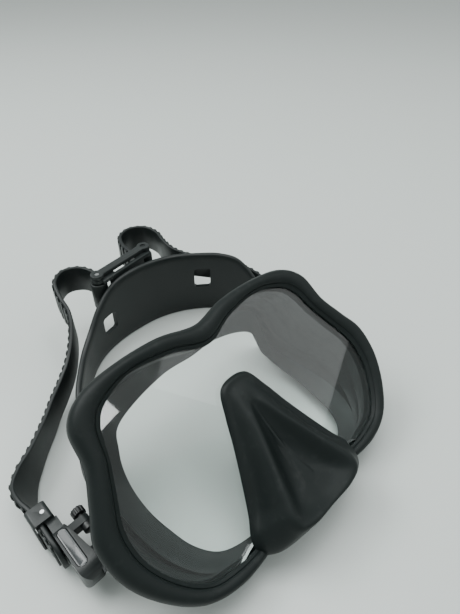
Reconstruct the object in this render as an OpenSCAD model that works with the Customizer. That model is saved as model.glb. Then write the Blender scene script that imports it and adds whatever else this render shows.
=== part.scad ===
// Diving mask with one flat lens, a moulded nose pocket, two side buckles and a
// ribbed strap that loops through a small clip on a wide rear pad.
// It is drawn as it lies on a table: X across the face, +Y towards the forehead,
// +Z up, the lens leaning back and the strap lying behind it.

/* [Mask body] */
// Lean of the lens plane from the table
tilt = 38; // [37:0.5:39]
// Height of the forehead notch above the table
notch_z = 72; // [71:0.5:74]
// Thickness of the glass
lens_thk = 4; // [3:0.5:4]
// How far the bezel stands in front of the lens plane
bezel_proud = 4.2; // [3:0.2:5]
// Width of the groove that grips the edge of the glass
grip = 2.2; // [1.6:0.2:2.4]

/* [Buckles] */
// Distance of the swing axis behind the forehead notch
swing_y = -30; // [-30.5:0.5:-29.5]
// Height of the swing axis above the table
swing_z = 14.75; // [14.5:0.25:15]
// Radius of the pivot pins
pin_r = 1.8; // [1.5:0.1:1.9]
// Height of the buckle frame above and below the swing axis
frame_half_h = 6.75; // [6.75:0.25:7.25]
// Travel of each release button
press = 1.5; // [1:0.25:1.5]

/* [Strap] */
// Width of the ribbed strap
strap_w = 18; // [17:0.5:18]
// Thickness of the strap between its ribs
strap_t = 2.2; // [1.8:0.1:2.4]
// Height of the strap ribs
rib_h = 1.1; // [0.6:0.1:1.2]
// Thickness of the rear pad
pad_t = 3; // [2.4:0.2:3.2]

/* [Rear clip] */
// Distance between the two loop pins of the clip
clip_span = 39.5; // [38:0.5:41]
// Radius of the loop rollers
loop_roller_r = 2.6; // [2.4:0.1:2.7]

/* [Hidden] */
$fn = 48;
clearance = 0.05;
// Centre of the whole outline on the table, which becomes the origin
centre_x = 1.903;
centre_y = 24.603;

// ---- helper functions ----
// One Catmull-Rom step between b and c
function spline_at(a, b, c, d, t) =
    0.5 * ((2 * b) + (c - a) * t + (2 * a - 5 * b + 4 * c - d) * t * t
        + (3 * b - a - 3 * c + d) * t * t * t);
// Closed smooth loop through the points, n steps to each span
function loop_spline(p, n) = [for (i = [0 : len(p) - 1]) for (j = [0 : n - 1])
    spline_at(p[(i + len(p) - 1) % len(p)], p[i], p[(i + 1) % len(p)],
        p[(i + 2) % len(p)], j / n)];
// Open smooth curve through the points, n steps to each span
function path_spline(p, n) = concat([for (i = [0 : len(p) - 2]) for (j = [0 : n - 1])
    spline_at(p[max(i - 1, 0)], p[i], p[i + 1], p[min(i + 2, len(p) - 1)], j / n)],
    [p[len(p) - 1]]);
// The right half of a symmetric loop, completed with its mirror image
function flip_x(p) = [for (i = [0 : len(p) - 1]) i == 0 ? -p[0] : p[i]];
function whole(half) = concat(half,
    [for (i = [len(half) - 2 : -1 : 1]) flip_x(half[i])]);
// A flat loop moved outwards by d
function grown(loop, d) = [for (i = [0 : len(loop) - 1])
    let (a = loop[(i + len(loop) - 1) % len(loop)], b = loop[(i + 1) % len(loop)],
        t = [b.x - a.x, b.y - a.y])
    [loop[i].x - d * t.y / norm(t), loop[i].y + d * t.x / norm(t)]];
function mixed(a, b, f) = [for (i = [0 : len(a) - 1]) a[i] * (1 - f) + b[i] * f];

// A solid skinned over rings that all have the same number of points.
// A closed skin runs from the last ring back to the first, an open one gets end caps.
module skinned(rings, closed) {
    n = len(rings[0]);
    m = len(rings);
    spans = closed ? m : m - 1;
    sides = [for (i = [0 : spans - 1]) for (j = [0 : n - 1])
        let (a = i * n + j, b = i * n + (j + 1) % n,
            c = ((i + 1) % m) * n + (j + 1) % n, d = ((i + 1) % m) * n + j)
        each [[a, c, b], [a, d, c]]];
    first = [for (j = [1 : n - 2]) [0, j, j + 1]];
    last = [for (j = [1 : n - 2]) [(m - 1) * n, (m - 1) * n + j + 1, (m - 1) * n + j]];
    faces = closed ? sides : concat(sides, first, last);
    points = [for (r = rings) each r];
    polyhedron(points, faces, convexity = 10);
}

// ---- places ----
module placed() {
    translate([-centre_x, -centre_y, 0]) children();
}
// Mask coordinates: x across, y up the lens, z out of the lens, notch at the origin
module on_lens() {
    placed() translate([0, 0, notch_z]) rotate([tilt, 0, 0]) children();
}
// Draws for the right side, or mirrored for the left one
module on_side(side) {
    placed() mirror([side < 0 ? 1 : 0, 0, 0]) children();
}
// A cylinder along X between two values of X
module rod_x(x1, x2, y, z, r) {
    translate([x1, y, z]) rotate([0, 90, 0]) cylinder(h = x2 - x1, r = r);
}
module rod_z(x, y, z1, z2, r) {
    translate([x, y, z1]) cylinder(h = z2 - z1, r = r);
}

// ---- mask body outlines, right half, from the forehead notch to under the nose ----
// Depth behind the lens plane of a point at height v that stands "rise" off the table
function rest_w(v, rise) = (rise - notch_z - sin(tilt) * v) / cos(tilt);
rim_half = [[0, 0], [20, 4], [42, 4.2], [60, 1], [70.5, -8], [73, -24], [79, -37.5],
    [84.5, -50], [83, -66], [75, -81], [63, -93], [48, -98], [30, -98], [12, -97],
    [0, -96.6]];
// Third value: 1 where the bezel stands in front of the glass, 0 under the nose
window_half = [[0, -11, 1], [18, -5.2, 1], [38, -2.6, 1], [53, -7, 1], [60, -14, 1],
    [63.5, -26, 1], [68, -37.5, 1], [73, -51, 1], [72.5, -65, 1], [66, -79, 1],
    [57, -88.2, 1], [46, -91.3, 1], [30, -92, 0], [12, -91, 0], [0, -90.6, 0]];
brow_seal = [[0, -5, -30], [20, -2, -31], [42, -2, -36], [56, -8, -44], [62, -18, -54.7]];
cheek_seal = [[65.5, -31, 1.9], [67.5, -43, 0.55], [68.5, -55, 1.2], [68, -67, 2], [64.5, -79, 1.5],
    [57, -89.5, 0.3], [44, -95.5, 0.7], [28, -97.5, 1], [12, -96.5, 1.6], [0, -96, 1.8]];
seal_half = concat(brow_seal, [for (p = cheek_seal) [p.x, p.y, rest_w(p.y, p.z)]]);
lip_half = [[0, -11.5, -27], [16, -11, -29], [34, -14.5, -34], [46, -20, -40],
    [49.5, -29, -46], [52, -38, -49], [54, -49, -46], [54.5, -60, -39], [53, -70, -32],
    [50.5, -79, -25], [45, -86.5, -19.5], [37, -90, -16.5], [24, -91.5, -14.5],
    [10, -90.5, -13.8], [0, -90, -13.6]];
loop_steps = 4;
rim = loop_spline(whole(rim_half), loop_steps);
window = loop_spline(whole(window_half), loop_steps);
seal = loop_spline(whole(seal_half), loop_steps);
lip = loop_spline(whole(lip_half), loop_steps);
// The bezel sinks out of the way of the nose pocket where the third window value falls
function sunk(i, w) = let (k = max(0, min(1, window[i].z)))
    w * (0.45 + 0.55 * k) - 5.5 * (1 - k);
function bezel_ring(loop, w) = [for (i = [0 : len(loop) - 1])
    [loop[i].x, loop[i].y, sunk(i, w)]];
function wall_ring(front, front_w, f, inset_w) = [for (i = [0 : len(front) - 1])
    let (a = [front[i].x, front[i].y, sunk(i, front_w)], b = seal[i])
    a * (1 - f) + b * f + [0, 0, inset_w]];
groove_front = 0.7;
groove_back = groove_front - lens_thk - 0.2;

module skirt() {
    rim_in = grown(rim, -1);
    rim_back = grown(rim, -3.6);
    grip_loop = grown(flat_window, grip + 2.1);
    inner_front = grown(flat_window, 0.6);
    seal_in = [for (i = [0 : len(seal) - 1]) let (g = grown(seal, -2)) [g[i].x, g[i].y,
        seal[i].z + 2.6]];
    tip = mixed(seal, lip, 0.62);
    rings = [
        bezel_ring(flat_window, groove_front),
        bezel_ring(flat_window, groove_front + 1.3),
        bezel_ring(mixed(flat_window, rim_in, 0.25), bezel_proud * 0.8),
        bezel_ring(mixed(flat_window, rim_in, 0.6), bezel_proud),
        bezel_ring(mixed(flat_window, rim, 0.9), bezel_proud * 0.7),
        bezel_ring(rim, 0),
        bezel_ring(rim, -2.5),
        bezel_ring(rim_in, -5.2),
        bezel_ring(rim_back, -8),
        wall_ring(rim_back, -8, 0.35, 0),
        wall_ring(rim_back, -8, 0.72, 0),
        seal,
        tip,
        [for (i = [0 : len(tip) - 1]) mixed(seal, lip, 0.64)[i] + [0, 0, 1]],
        [for (i = [0 : len(tip) - 1]) mixed(seal, lip, 0.3)[i] + [0, 0, 1.7]],
        seal_in,
        [for (i = [0 : len(tip) - 1]) let (a = inner_front[i], b = seal_in[i])
            [a.x, a.y, sunk(i, -7)] * 0.35 + b * 0.65],
        bezel_ring(inner_front, -7.5),
        bezel_ring(flat_window, groove_back - 0.6),
        bezel_ring(flat_window, groove_back),
        bezel_ring(grip_loop, groove_back),
        bezel_ring(grip_loop, groove_front)
    ];
    color([0.10, 0.12, 0.12]) on_lens() skinned(rings, true);
}

// The second, inner feather edge that lies against the face inside the first
module inner_seal() {
    root_out = mixed(seal, lip, 0.25);
    rings = [
        [for (i = [0 : len(seal) - 1]) mixed(seal, lip, 0.36)[i] + [0, 0, 5.4]],
        [for (i = [0 : len(seal) - 1]) mixed(seal, lip, 0.7)[i] + [0, 0, 4.2]],
        [for (i = [0 : len(seal) - 1]) lip[i] + [0, 0, 3.4]],
        [for (i = [0 : len(seal) - 1]) lip[i] + [0, 0, 4.4]],
        [for (i = [0 : len(seal) - 1]) mixed(seal, lip, 0.7)[i] + [0, 0, 5.9]],
        [for (i = [0 : len(seal) - 1]) root_out[i] + [0, 0, 9.5]],
        [for (i = [0 : len(seal) - 1]) root_out[i] + [0, 0, 6.6]]
    ];
    color([0.13, 0.15, 0.15]) on_lens() skinned(rings, true);
}

// ---- nose pocket, right half of each ring from the bridge down to the nostrils ----
nose_flange = [[0, -29, 0.75], [8.5, -31.5, 0.75], [13.5, -42, 0.75], [18, -54, 0.75],
    [23.5, -67, 0.75], [29.5, -80, 0.75], [33.5, -88.5, 0], [28, -96, -2.6],
    [14.5, -97.8, -3.3], [0, -98, -3.3]];
nose_crest = [[0, -30.3, 2.6], [7.5, -32.5, 2.6], [12.2, -42.5, 2.6], [16.5, -54.5, 2.6],
    [21.8, -67.5, 2.6], [27.8, -80.3, 2.6], [32, -88, 2.2], [28, -96.2, 0],
    [14.5, -98, -0.5], [0, -98.3, -0.5]];
nose_foot = [[0, -33, 3], [6, -35, 3], [10.2, -43.5, 3], [14.2, -55, 3.2], [19, -67.7, 3.6],
    [25, -80, 4], [30, -88, 5], [28, -96, 6], [15, -98.3, 7], [0, -98.6, 7]];
nose_shoulder = [[0, -38, 4.6], [4, -39.5, 4.8], [7.2, -46, 6], [11, -57, 7.5],
    [15.5, -69, 9.5], [20.8, -80.5, 11.5], [24.5, -88, 12.5], [23, -95.3, 13.5],
    [13.5, -97.5, 14.5], [0, -97.8, 14]];
nose_ridge = [[0, -42, 5], [2, -43, 5.4], [4.5, -48, 7], [8, -58, 9.5], [12.5, -70, 12.5],
    [17, -82, 15.5], [19.3, -88.5, 17], [18, -93.3, 17.3], [11, -95.8, 17], [0, -96.4, 16]];
nose_slope = [[0, -45, 4.8], [1, -46, 5], [2.2, -50, 5.6], [4, -59, 6.5], [6.5, -70, 7.8],
    [9.5, -81, 10], [11, -86, 11.5], [10, -89, 12.5], [6, -91, 13], [0, -92, 13]];
nose_middle = [[0, -50, 4.6], [0.4, -52, 4.6], [0.8, -56, 4.8], [1.2, -62, 5], [2, -69, 5.6],
    [3, -78, 7.6], [3.5, -82, 9], [3, -84, 10], [2, -85, 10.3], [0, -86, 10.5]];
nose_plug = [[0, -32.8, 0.75], [5.8, -34.8, 0.75], [10.2, -43.6, 0.75], [14.4, -55, 0.75],
    [19.8, -68, 0.75], [25.6, -80.5, 0.75], [29, -86.5, 0.3], [25.5, -94.3, -3.2],
    [14, -96, -3.45], [0, -96.4, -3.45]];
nose_centre = [0, -70, 0];
function nose_ring(half) = loop_spline(whole(half), loop_steps);
// The inside face of the pocket, one wall further in
function nose_inside(half, drop) = [for (p = nose_ring(half))
    [p.x * 0.87, nose_centre.y + (p.y - nose_centre.y) * 0.925, p.z - drop]];
plug_inside = [for (p = nose_plug) [p.x * 0.87, nose_centre.y + (p.y - nose_centre.y) * 0.94,
    p.y < -87 ? p.z : -3.9]];

module nose_pocket() {
    rings = [
        nose_ring(nose_middle), nose_ring(nose_slope), nose_ring(nose_ridge),
        nose_ring(nose_shoulder), nose_ring(nose_foot), nose_ring(nose_crest),
        nose_ring(nose_flange), nose_ring(nose_plug),
        nose_ring([for (p = nose_plug) [p.x, p.y, p.y < -87 ? p.z - 0.1 : -3.9]]),
        nose_ring(plug_inside),
        nose_inside(nose_foot, 2.2), nose_inside(nose_shoulder, 2.2),
        nose_inside(nose_ridge, 2.2), nose_inside(nose_slope, 2.2),
        nose_inside(nose_middle, 2.2)
    ];
    color([0.12, 0.14, 0.14]) on_lens() skinned(rings, false);
}

// ---- glass and the rigid ring that is moulded into the skirt around it ----
flat_window = [for (p = window) [p.x, p.y]];
lobe_points = 11 * loop_steps;
nose_cut = [for (p = nose_ring(nose_plug)) if (p.x > -0.01 && p.y > -86) [p.x + 0.5, p.y + 0.3]];
// One sheet: the right edge, the nose cut and the same points mirrored
module glass_outline(edge) {
    outer = grown(flat_window, edge);
    lobe = [for (i = [0 : lobe_points]) [max(outer[i].x, 0), outer[i].y]];
    nose_side = [for (i = [len(nose_cut) - 1 : -1 : 0]) [max(nose_cut[i].x, 0), nose_cut[i].y]];
    right = concat(lobe, [[33, -90]], nose_side);
    polygon(concat(right, [for (i = [len(right) - 1 : -1 : 1]) [-right[i].x, right[i].y]]));
}
module lens() {
    color([0.75, 0.82, 0.82, 0.35]) on_lens()
        translate([0, 0, groove_front - 0.1 - lens_thk]) linear_extrude(lens_thk)
            glass_outline(grip);
}
module lens_subframe() {
    color([0.08, 0.08, 0.09]) on_lens()
        translate([0, 0, groove_front - 0.1 - lens_thk]) linear_extrude(lens_thk)
            difference() {
                glass_outline(grip + 1.9);
                glass_outline(grip + 0.1);
                translate([-40, -110]) square([80, 30]);
            }
}

// ---- side lugs, pivots and buckles; all drawn for the right side ----
lug_x = 74.5;
// Buckle frame seen from above: a wedge with round ends, flat on its outer side
frame_out = 91.7;
front_r = 4.65;
back_r = 3.05;
front_y = -32;
back_y = -11;
frame_y = -22.4;
frame_half_l = 14.35;
spot_x = 83.9;
spot_r = 6;
// Release buttons, and the web between their two pockets
web = 5;
button_x = 88.5;
button_y = -21.5;
button_half_l = 9.5;
button_half_w = 2;
button_h = frame_half_h - web / 2 - press - 0.75;
pocket_gap = 0.3;
dish_r = 40;
// Thumb latch on a short arm beside the frame
latch_x = 78.9;
latch_z = 17.5;
latch_r = 1.5;
latch_gap = 1.6;
arm_y1 = -15.5;
arm_y2 = -12;
// Keeper box that the strap runs through, over a small roller
strap_x = 93.2;
keeper_x1 = 87.2;
keeper_x2 = 96.4;
keeper_y1 = -4.6;
keeper_y2 = 4.2;
keeper_z1 = 1.7;
keeper_z2 = 22.5;
roller_x = 90.1;
roller_y = -0.2;
roller_r = 1.7;
axle_r = 0.9;

// A block with round ends along Y, standing on z, for pockets and buttons
module oval_prism(x, y, z, half_l, half_w, h) {
    translate([x, y, z]) linear_extrude(h) {
        translate([0, -half_l + half_w]) circle(r = half_w);
        translate([0, half_l - half_w]) circle(r = half_w);
        square([2 * half_w, 2 * (half_l - half_w)], center = true);
    }
}

module lug(side) {
    color([0.07, 0.08, 0.08]) on_side(side) difference() {
        union() {
            rod_x(lug_x, spot_x - 1, swing_y, swing_z, spot_r);
            translate([lug_x, swing_y - 5, swing_z]) cube([2.6, 10, 11]);
        }
        rod_x(lug_x + 1.5, spot_x, swing_y, swing_z, pin_r);
    }
}
module pivot_pin(side) {
    color([0.55, 0.56, 0.57]) on_side(side)
        rod_x(lug_x + 1.5, frame_out - 2, swing_y, swing_z, pin_r);
}
module pivot_washer(side) {
    color([0.3, 0.3, 0.31]) on_side(side) difference() {
        rod_x(spot_x - 0.9, spot_x - 0.1, swing_y, swing_z, spot_r - 0.3);
        rod_x(spot_x - 2, spot_x + 1, swing_y, swing_z, pin_r + clearance);
    }
}
// Long rounded plate seen from the side, standing across X
module side_plate(x, y, z, half_l, half_h, thk) {
    for (end = [-1, 1])
        rod_x(x, x + thk, y + end * (half_l - half_h), z, half_h);
    translate([x, y - half_l + half_h, z - half_h])
        cube([thk, 2 * (half_l - half_h), 2 * half_h]);
}
module frame_plan() {
    translate([frame_out - front_r, front_y]) circle(r = front_r);
    translate([frame_out - back_r, back_y]) circle(r = back_r);
    polygon([[frame_out - 2 * front_r, front_y], [frame_out, front_y],
        [frame_out, back_y], [frame_out - 2 * back_r, back_y]]);
}
module buckle_frame(side) {
    pocket_l = button_half_l + pocket_gap;
    pocket_w = button_half_w + pocket_gap;
    color([0.13, 0.14, 0.14]) on_side(side) difference() {
        union() {
            intersection() {
                linear_extrude(40) frame_plan();
                side_plate(frame_out - 12, frame_y, swing_z, frame_half_l, frame_half_h, 14);
            }
            translate([frame_out - 5.3, back_y, swing_z - 5.5])
                cube([4.9, keeper_y1 - back_y, 11]);
            translate([latch_x, arm_y1, latch_z - 2.6])
                cube([frame_out - 4 - latch_x, arm_y2 - arm_y1, 5.2]);
            translate([latch_x, arm_y2, latch_z]) rotate([90, 0, 0])
                cylinder(h = arm_y2 - arm_y1, r = 2.6);
        }
        rod_x(spot_x - 5, frame_out - 1.7, swing_y, swing_z, pin_r + clearance);
        rod_x(spot_x - 5, spot_x, swing_y, swing_z, spot_r + 0.2);
        oval_prism(button_x, button_y, swing_z + web / 2, pocket_l, pocket_w, 20);
        oval_prism(button_x, button_y, -10, pocket_l, pocket_w, 10 + swing_z - web / 2);
        translate([latch_x, arm_y2 + 1, latch_z]) rotate([90, 0, 0])
            cylinder(h = arm_y2 - arm_y1 + 2, r = latch_r + clearance);
    }
}
module button(side, up) {
    lift = web / 2 + press + 0.4;
    z0 = up > 0 ? swing_z + lift : swing_z - lift - button_h;
    dish = up > 0 ? z0 + button_h + dish_r - 1.1 : z0 - dish_r + 1.1;
    color([0.33, 0.35, 0.36]) on_side(side) difference() {
        oval_prism(button_x, button_y, z0, button_half_l, button_half_w, button_h);
        translate([button_x, button_y, dish]) rotate([0, 90, 0])
            cylinder(h = 2 * button_half_w - 1.2, r = dish_r, center = true, $fn = 360);
    }
}
// A short coil standing on z, one ring of six points for each step of the turn
function coil_ring(r, wire, a, z) = [for (k = [5 : -1 : 0])
    let (rr = r + wire * cos(60 * k)) [rr * cos(a), rr * sin(a), z + wire * sin(60 * k)]];
module coil(r, wire, turns, h) {
    steps = turns * 12;
    skinned([for (i = [0 : steps]) coil_ring(r, wire, 30 * i,
        wire + (h - 2 * wire) * i / steps)], false);
}
module button_spring(side, up) {
    z0 = up > 0 ? swing_z + web / 2 + 0.05 : swing_z - web / 2 - press - 0.35;
    color([0.6, 0.6, 0.6]) on_side(side) translate([button_x, button_y, z0])
        coil(1.5, 0.25, 2, press + 0.3);
}
module latch(side) {
    color([0.08, 0.08, 0.09]) on_side(side) translate([latch_x, 0, latch_z])
        rotate([-90, 0, 0]) {
            translate([0, 0, arm_y1 - 3.1]) cylinder(h = 3, r = 2.5);
            translate([0, 0, arm_y1 - 3]) cylinder(h = arm_y2 - arm_y1 + 6, r = latch_r);
            difference() {
                translate([0, 0, arm_y2 + latch_gap]) cylinder(h = 3.2, r = 3);
                for (k = [0 : 11]) rotate([0, 0, 30 * k]) translate([3.15, 0, arm_y2])
                    cylinder(h = 6, r = 0.45, $fn = 16);
            }
        }
}
module strap_keeper(side) {
    round_r = 1.5;
    deep = keeper_y2 - keeper_y1;
    wide = keeper_x2 - keeper_x1;
    tall = keeper_z2 - keeper_z1;
    color([0.12, 0.13, 0.13]) on_side(side) difference() {
        union() {
            translate([keeper_x1, keeper_y1, keeper_z1 + round_r])
                cube([wide, deep, tall - 2 * round_r]);
            translate([keeper_x1 + round_r, keeper_y1, keeper_z1])
                cube([wide - 2 * round_r, deep, tall]);
            for (z = [keeper_z1 + round_r, keeper_z2 - round_r])
                for (x = [keeper_x1 + round_r, keeper_x2 - round_r])
                    translate([x, keeper_y2, z]) rotate([90, 0, 0])
                        cylinder(h = deep, r = round_r);
        }
        translate([strap_x - strap_t / 2 - 0.2, keeper_y1 - 1, keeper_z1 + 1.2])
            cube([strap_t + rib_h + 0.5, deep + 2, tall - 2.4]);
        translate([roller_x - roller_r - 0.4, roller_y - roller_r - 0.5, keeper_z1 + 2.4])
            cube([strap_x - roller_x + roller_r, 2 * roller_r + 1, tall - 4.8]);
        rod_z(roller_x, roller_y, -5, 40, axle_r + clearance);
    }
}
module roller_axle(side) {
    color([0.6, 0.6, 0.6]) on_side(side)
        rod_z(roller_x, roller_y, keeper_z1 + 0.2, keeper_z2 - 0.2, axle_r);
}
module strap_roller(side) {
    color([0.25, 0.26, 0.26]) on_side(side) difference() {
        rod_z(roller_x, roller_y, keeper_z1 + 2.7, keeper_z2 - 2.7, roller_r);
        rod_z(roller_x, roller_y, 0, 40, axle_r + clearance);
    }
}

// ---- ribbed straps ----
// Points of a strap's middle line: x, y, height of the middle, outward lean.
// They run from the free tail through the keeper, along the pad and round the loop.
left_route = [[-strap_x, -21.5, 12.1, 0], [-strap_x, -13, 12.1, 0], [-strap_x, -5, 12.1, 0],
    [-strap_x, 5, 12.1, 3], [-93, 13.5, 11.5, 14], [-91, 21.3, 10.6, 22],
    [-86, 28.2, 10, 15], [-79.5, 33.9, 9.8, 6], [-72.3, 40.4, 9.8, 1], [-64, 47.8, 9.9, 0],
    [-56, 55.3, 10.6, 0], [-46.5, 63, 12, 0], [-37, 70.5, 15.5, 0], [-28, 79.5, 22, 0],
    [-21.5, 90, 29, 0], [-20, 101.5, 34, 0], [-16.5, 112.5, 37, 0], [-7.5, 119, 37.5, 0],
    [2, 115, 37.5, 0], [6, 104, 37.5, 0]];
right_route = [[strap_x, -21.5, 12.1, 0], [strap_x, -13, 12.1, 0], [strap_x, -5, 12.1, 0],
    [strap_x + 0.15, 5, 12.1, 2], [95.3, 16, 12.5, 5], [98, 27, 14, 4], [98.6, 38.5, 17, 0],
    [96, 50, 21, 0], [90.5, 60.5, 25, 0], [82.5, 69.5, 28.5, 0], [73, 77, 31.5, 0],
    [64.5, 84.5, 34, 0], [60.5, 94, 36, 0], [61.5, 105, 37, 0], [64.3, 116, 37.5, 0],
    [62.5, 127, 37.5, 0], [53.5, 133, 37.5, 0], [43.5, 129.5, 37.5, 0],
    [38, 120, 37.5, 0], [36.5, 109, 37.5, 0]];
wrap_r = loop_roller_r + 0.35 + strap_t / 2;
// The last turn of a strap round its loop pin, as more points of the same route
function wrap_points(pin, a0, a1, steps) = [for (i = [0 : steps])
    let (a = a0 + (a1 - a0) * i / steps)
    [pin.x + wrap_r * cos(a), pin.y + wrap_r * sin(a), clip_mid_z, 0]];
// Sides of the strap at one point: its smooth face looks inwards, its ribs outwards
function strap_ring(p, q, out, h, rib) =
    let (t = [q.x, q.y] / norm([q.x, q.y]), n = out * [-t.y, t.x],
        up = [sin(p[3]) * n.x, sin(p[3]) * n.y, cos(p[3])],
        face = [cos(p[3]) * n.x, cos(p[3]) * n.y, -sin(p[3])],
        c = [p.x, p.y, p.z], a = strap_t / 2, b = strap_t / 2 + rib)
    [c - up * h - face * a, c - up * h + face * b, c + up * h + face * b,
        c + up * h - face * a];
rib_pattern = [0, 1, 1, 0];
// Half width of the strap at a distance from its rounded free end
function end_half(d) = let (f = min(1, (d + 0.2) * 2 / strap_w))
    strap_w / 2 * sqrt(1 - (1 - f) * (1 - f));
module ribbed_strap(route, out, ribbed_steps) {
    line = path_spline(route, 8);
    last = len(line) - 1;
    rings = [for (i = [0 : last]) strap_ring(line[i],
        line[min(i + 1, last)] - line[max(i - 1, 0)], out, end_half(norm(line[i] - line[0])),
        i < ribbed_steps ? rib_h * rib_pattern[i % 4] : 0)];
    skinned(out > 0 ? rings : [for (r = rings) [r[3], r[2], r[1], r[0]]], false);
}
module strap_left() {
    turn = wrap_points(pin_at(-1), 5, -235, 9);
    color([0.11, 0.12, 0.13]) placed() ribbed_strap(concat(left_route, turn), 1, 148);
}
module strap_right() {
    turn = wrap_points(pin_at(1), 185, 425, 9);
    color([0.11, 0.12, 0.13]) placed() ribbed_strap(concat(right_route, turn), -1, 148);
}

// ---- rear pad ----
// Points of the pad's middle line: x, y and the height of its top edge
pad_route = [[-49, 40, 19], [-42.5, 50.5, 21], [-35, 60, 22.5], [-27, 69, 24], [-17, 77, 28], [-6, 82.5, 37],
    [7, 85.8, 45.5], [22, 87, 48], [38, 86, 48], [53, 81.3, 47.5], [66, 73.5, 46.5],
    [76.5, 64, 46], [84, 54, 43], [88, 45, 34], [89.5, 37, 24]];
function pad_ring(p, q) =
    let (t = [q.x, q.y] / norm([q.x, q.y]), n = pad_t / 2 * [-t.y, t.x, 0],
        foot = [p.x, p.y, 0], rim = [0, 0, p.z], bead = 1.35)
    [foot - n, foot + n, foot + n + rim - [0, 0, 4], foot + n * bead + rim - [0, 0, 2.5],
        foot + n * bead + rim, foot - n + rim];
module head_pad() {
    line = path_spline(pad_route, 5);
    last = len(line) - 1;
    color([0.12, 0.13, 0.14]) placed() difference() {
        skinned([for (i = [0 : last]) pad_ring(line[i],
            line[min(i + 1, last)] - line[max(i - 1, 0)])], false);
        translate([68, 72, 20]) rotate([0, 0, -40]) translate([-5.5, -6, 0]) cube([11, 12, 15]);
        translate([-1, 83.8, 14]) rotate([0, 0, 22]) translate([-5.5, -6, 0]) cube([11, 12, 13]);
    }
}

// ---- rear clip ----
clip_place = [21.5, 95.8];
clip_turn = 9.5;
clip_mid_z = 37.5;
clip_half_h = 12;
arm_t = 2.2;
loop_pin_r = 1.3;
rivet_r = 1.5;
// Front face of the clip's plate, in clip coordinates
plate_y = -3.6;
function pin_at(side) = clip_place
    + side * clip_span / 2 * [cos(clip_turn), sin(clip_turn)];
// Clip coordinates: x from pin to pin, y away from the head, z up
module on_clip() {
    placed() translate([clip_place.x, clip_place.y, 0]) rotate([0, 0, clip_turn]) children();
}
module clip_base() {
    bottom = clip_mid_z - clip_half_h;
    top = clip_mid_z + clip_half_h - arm_t;
    color([0.14, 0.15, 0.15]) on_clip() difference() {
        union() {
            translate([-14, plate_y - 2.2, bottom]) cube([28, 2.2, 2 * clip_half_h]);
            for (side = [-1, 1]) for (z = [bottom, top]) {
                translate([side > 0 ? 9 : -clip_span / 2, plate_y - 2.2, z])
                    cube([clip_span / 2 - 9, 2.2 - plate_y, arm_t]);
                rod_z(side * clip_span / 2, 0, z, z + arm_t, 4.2);
            }
        }
        for (side = [-1, 1]) {
            rod_z(side * clip_span / 2, 0, 0, 80, loop_pin_r + clearance);
            translate([side * 9, 0, clip_mid_z - 4]) rotate([90, 0, 0])
                cylinder(h = 10, r = rivet_r + clearance);
        }
        translate([-4, -8, clip_mid_z + 5]) cube([8, 6, 2.4]);
    }
}
module clip_rivets() {
    color([0.5, 0.5, 0.51]) on_clip() for (side = [-1, 1])
        translate([side * 9, 0, clip_mid_z - 4]) rotate([90, 0, 0]) {
            translate([0, 0, -plate_y]) cylinder(h = side < 0 ? 4.6 : 6.6, r = rivet_r);
            translate([0, 0, -plate_y - 1.2]) cylinder(h = 1.15, r = 2.6);
        }
}
module clip_lever() {
    z = clip_mid_z + clip_half_h + 0.3;
    color([0.10, 0.11, 0.11]) on_clip() difference() {
        union() {
            rod_z(-clip_span / 2, 0, z, z + 2.6, 4);
            rod_z(clip_span / 2, 0, z, z + 2.6, 4);
            translate([-clip_span / 2, -2.6, z]) cube([clip_span, 5.2, 2.6]);
        }
        rod_z(-clip_span / 2, 0, 0, 80, loop_pin_r + clearance);
        rod_z(clip_span / 2, 0, z + 1.6, z + 5, 1.8);
    }
}
module loop_pin(side) {
    top = clip_mid_z + clip_half_h + (side < 0 ? 2.6 : 0);
    color([0.55, 0.56, 0.57]) on_clip()
        rod_z(side * clip_span / 2, 0, clip_mid_z - clip_half_h + 0.2, top, loop_pin_r);
}
module loop_roller(side) {
    color([0.2, 0.21, 0.21]) on_clip() difference() {
        rod_z(side * clip_span / 2, 0, clip_mid_z - clip_half_h + arm_t + 0.2,
            clip_mid_z + clip_half_h - arm_t - 0.2, loop_roller_r);
        rod_z(side * clip_span / 2, 0, 0, 80, loop_pin_r + clearance);
    }
}

skirt();
inner_seal();
nose_pocket();
lens();
lens_subframe();
lug(-1);  // lug_left
lug(1);  // lug_right
pivot_pin(-1);  // pivot_pin_left
pivot_pin(1);  // pivot_pin_right
pivot_washer(-1);  // pivot_washer_left
pivot_washer(1);  // pivot_washer_right
buckle_frame(-1);  // buckle_frame_left
buckle_frame(1);  // buckle_frame_right
strap_keeper(-1);  // strap_keeper_left
strap_keeper(1);  // strap_keeper_right
roller_axle(-1);  // roller_axle_left
roller_axle(1);  // roller_axle_right
strap_roller(-1);  // strap_roller_left
strap_roller(1);  // strap_roller_right
latch(-1);  // latch_left
latch(1);  // latch_right
button(-1, 1);  // button_upper_left
button(-1, -1);  // button_lower_left
button(1, 1);  // button_upper_right
button(1, -1);  // button_lower_right
button_spring(-1, 1);  // spring_upper_left
button_spring(-1, -1);  // spring_lower_left
button_spring(1, 1);  // spring_upper_right
button_spring(1, -1);  // spring_lower_right
strap_left();
strap_right();
head_pad();
clip_base();
clip_rivets();
clip_lever();
loop_pin(-1);  // loop_pin_left
loop_pin(1);  // loop_pin_right
loop_roller(-1);  // loop_roller_left
loop_roller(1);  // loop_roller_right
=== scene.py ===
import math

import bmesh
import bpy
import numpy as np
from bpy.props import FloatProperty, FloatVectorProperty, IntProperty, PointerProperty
from mathutils import Matrix, Vector


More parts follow.
